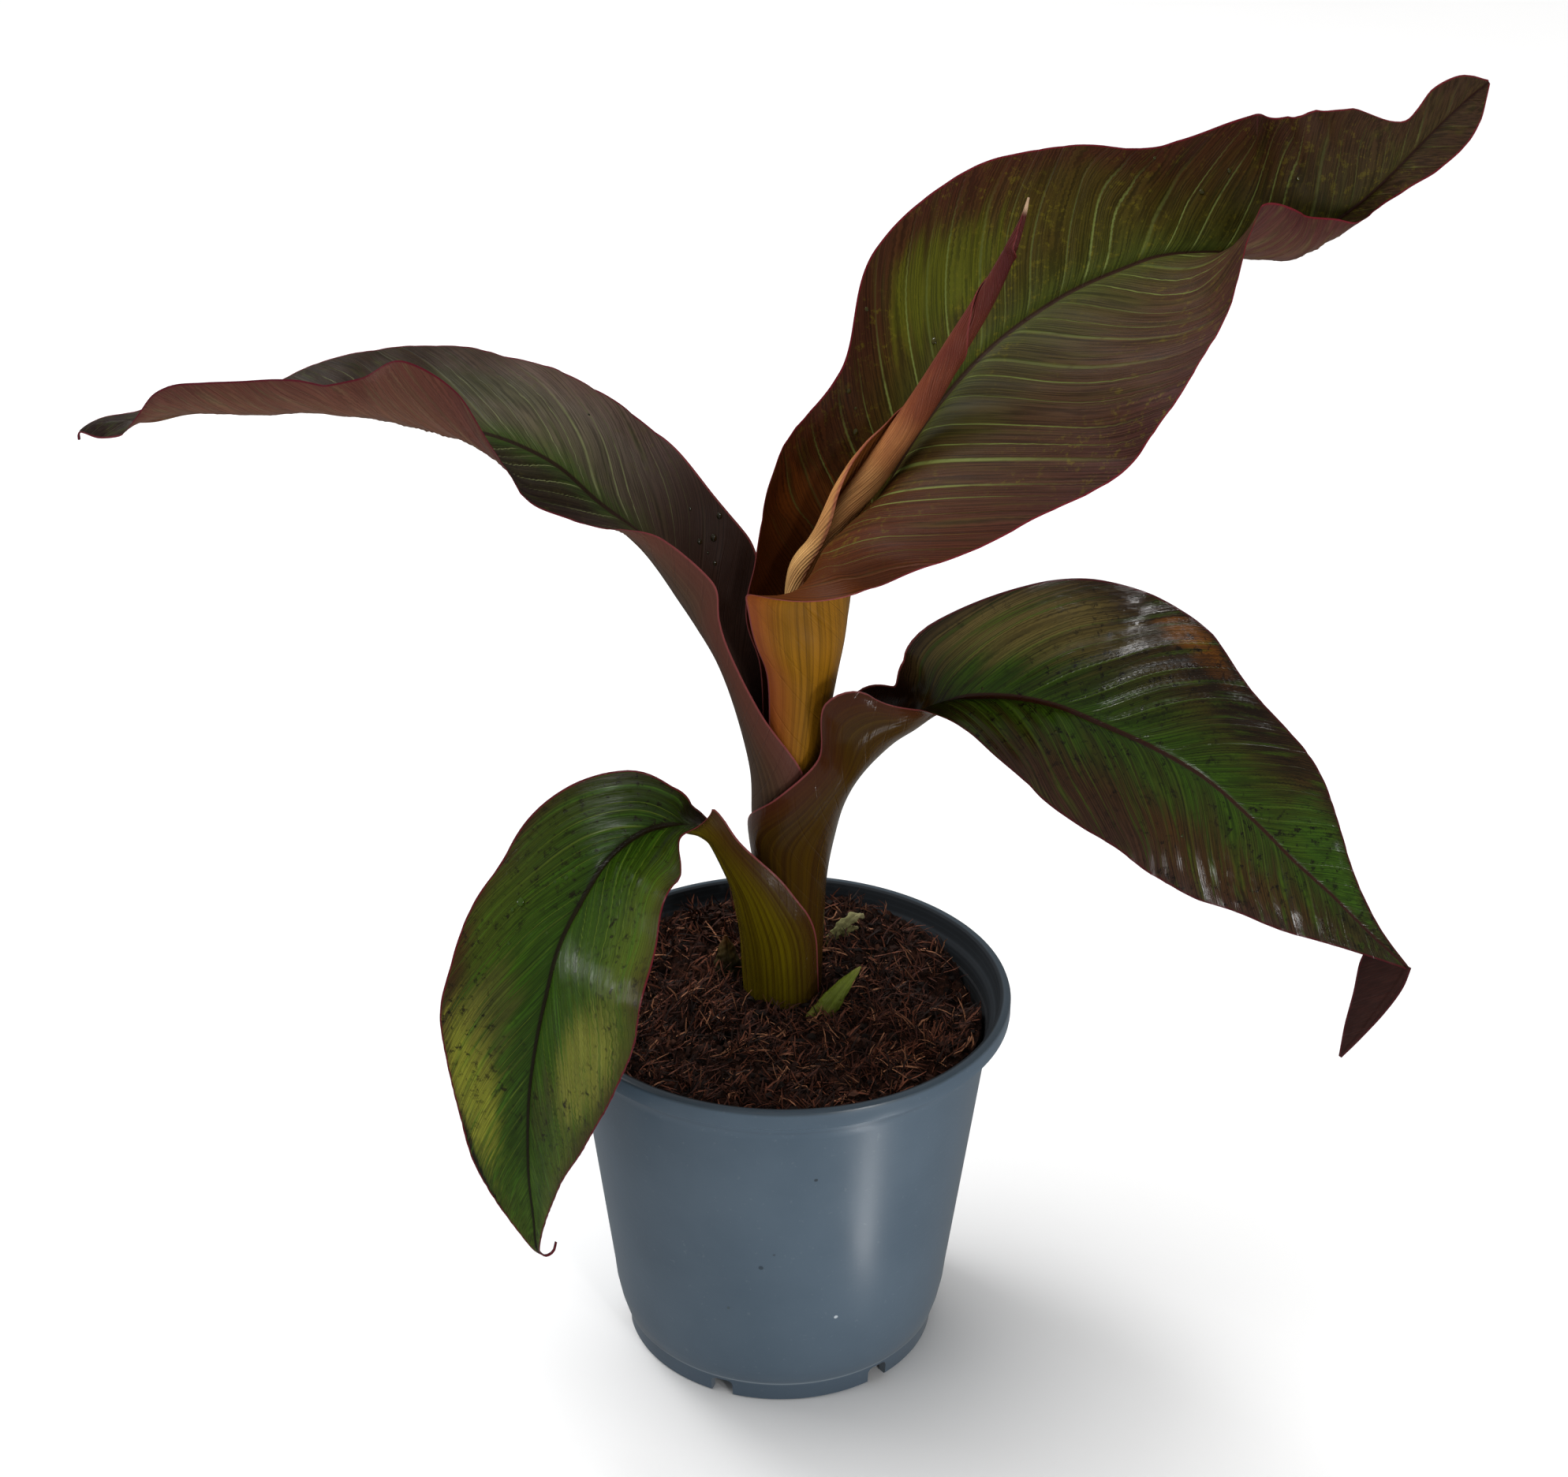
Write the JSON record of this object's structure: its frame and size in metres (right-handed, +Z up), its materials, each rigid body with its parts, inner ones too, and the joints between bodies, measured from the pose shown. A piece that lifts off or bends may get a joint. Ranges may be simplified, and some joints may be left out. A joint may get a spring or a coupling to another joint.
{
  "type": "potted banana plant",
  "caption": "Young banana plant in a round plastic nursery pot: a stem of nested leaf sheaths, arching blades, a rolled new leaf and small shoots at the foot.",
  "frame": {"origin": "middle of the pot's flat underside", "axes": "+Z up along the pot's axis, +X towards the tip of the highest leaf's side, -Y towards the front leaf's side"},
  "size_m": [0.3898, 0.1712, 0.3508],
  "materials": {
    "pot": "slate blue moulded plastic, semi-matt",
    "soil": "moist dark peat and coir, rough",
    "leaf_a": "glossy green leaf with dark red edges",
    "leaf_b": "glossy green and dark brown leaf",
    "leaf_c": "greyish maroon leaf, satin",
    "leaf_d": "green and maroon leaf on a yellow stalk, satin",
    "rolled_leaf": "reddish brown rolled leaf, satin",
    "shoot": "fresh green shoot, satin",
    "cut_shoot": "pale dry stub, matt",
    "bud": "brown bud, matt"
  },
  "bodies": {
    "root": {"pot": "pot", "soil": "soil", "spear": "rolled_leaf", "leaf_a_stalk": "leaf_a", "leaf_a_blade": "leaf_a", "leaf_b_stalk": "leaf_b", "leaf_b_blade": "leaf_b", "leaf_b_hanging_tip": "leaf_b", "leaf_c_stalk": "leaf_c", "leaf_c_blade": "leaf_c", "leaf_c_blade_end": "leaf_c", "leaf_d_stalk": "leaf_d", "leaf_d_blade": "leaf_d", "leaf_d_blade_end": "leaf_d", "green_shoot": "shoot", "cut_shoot": "cut_shoot", "brown_bud": "bud"}
  },
  "joints": []
}
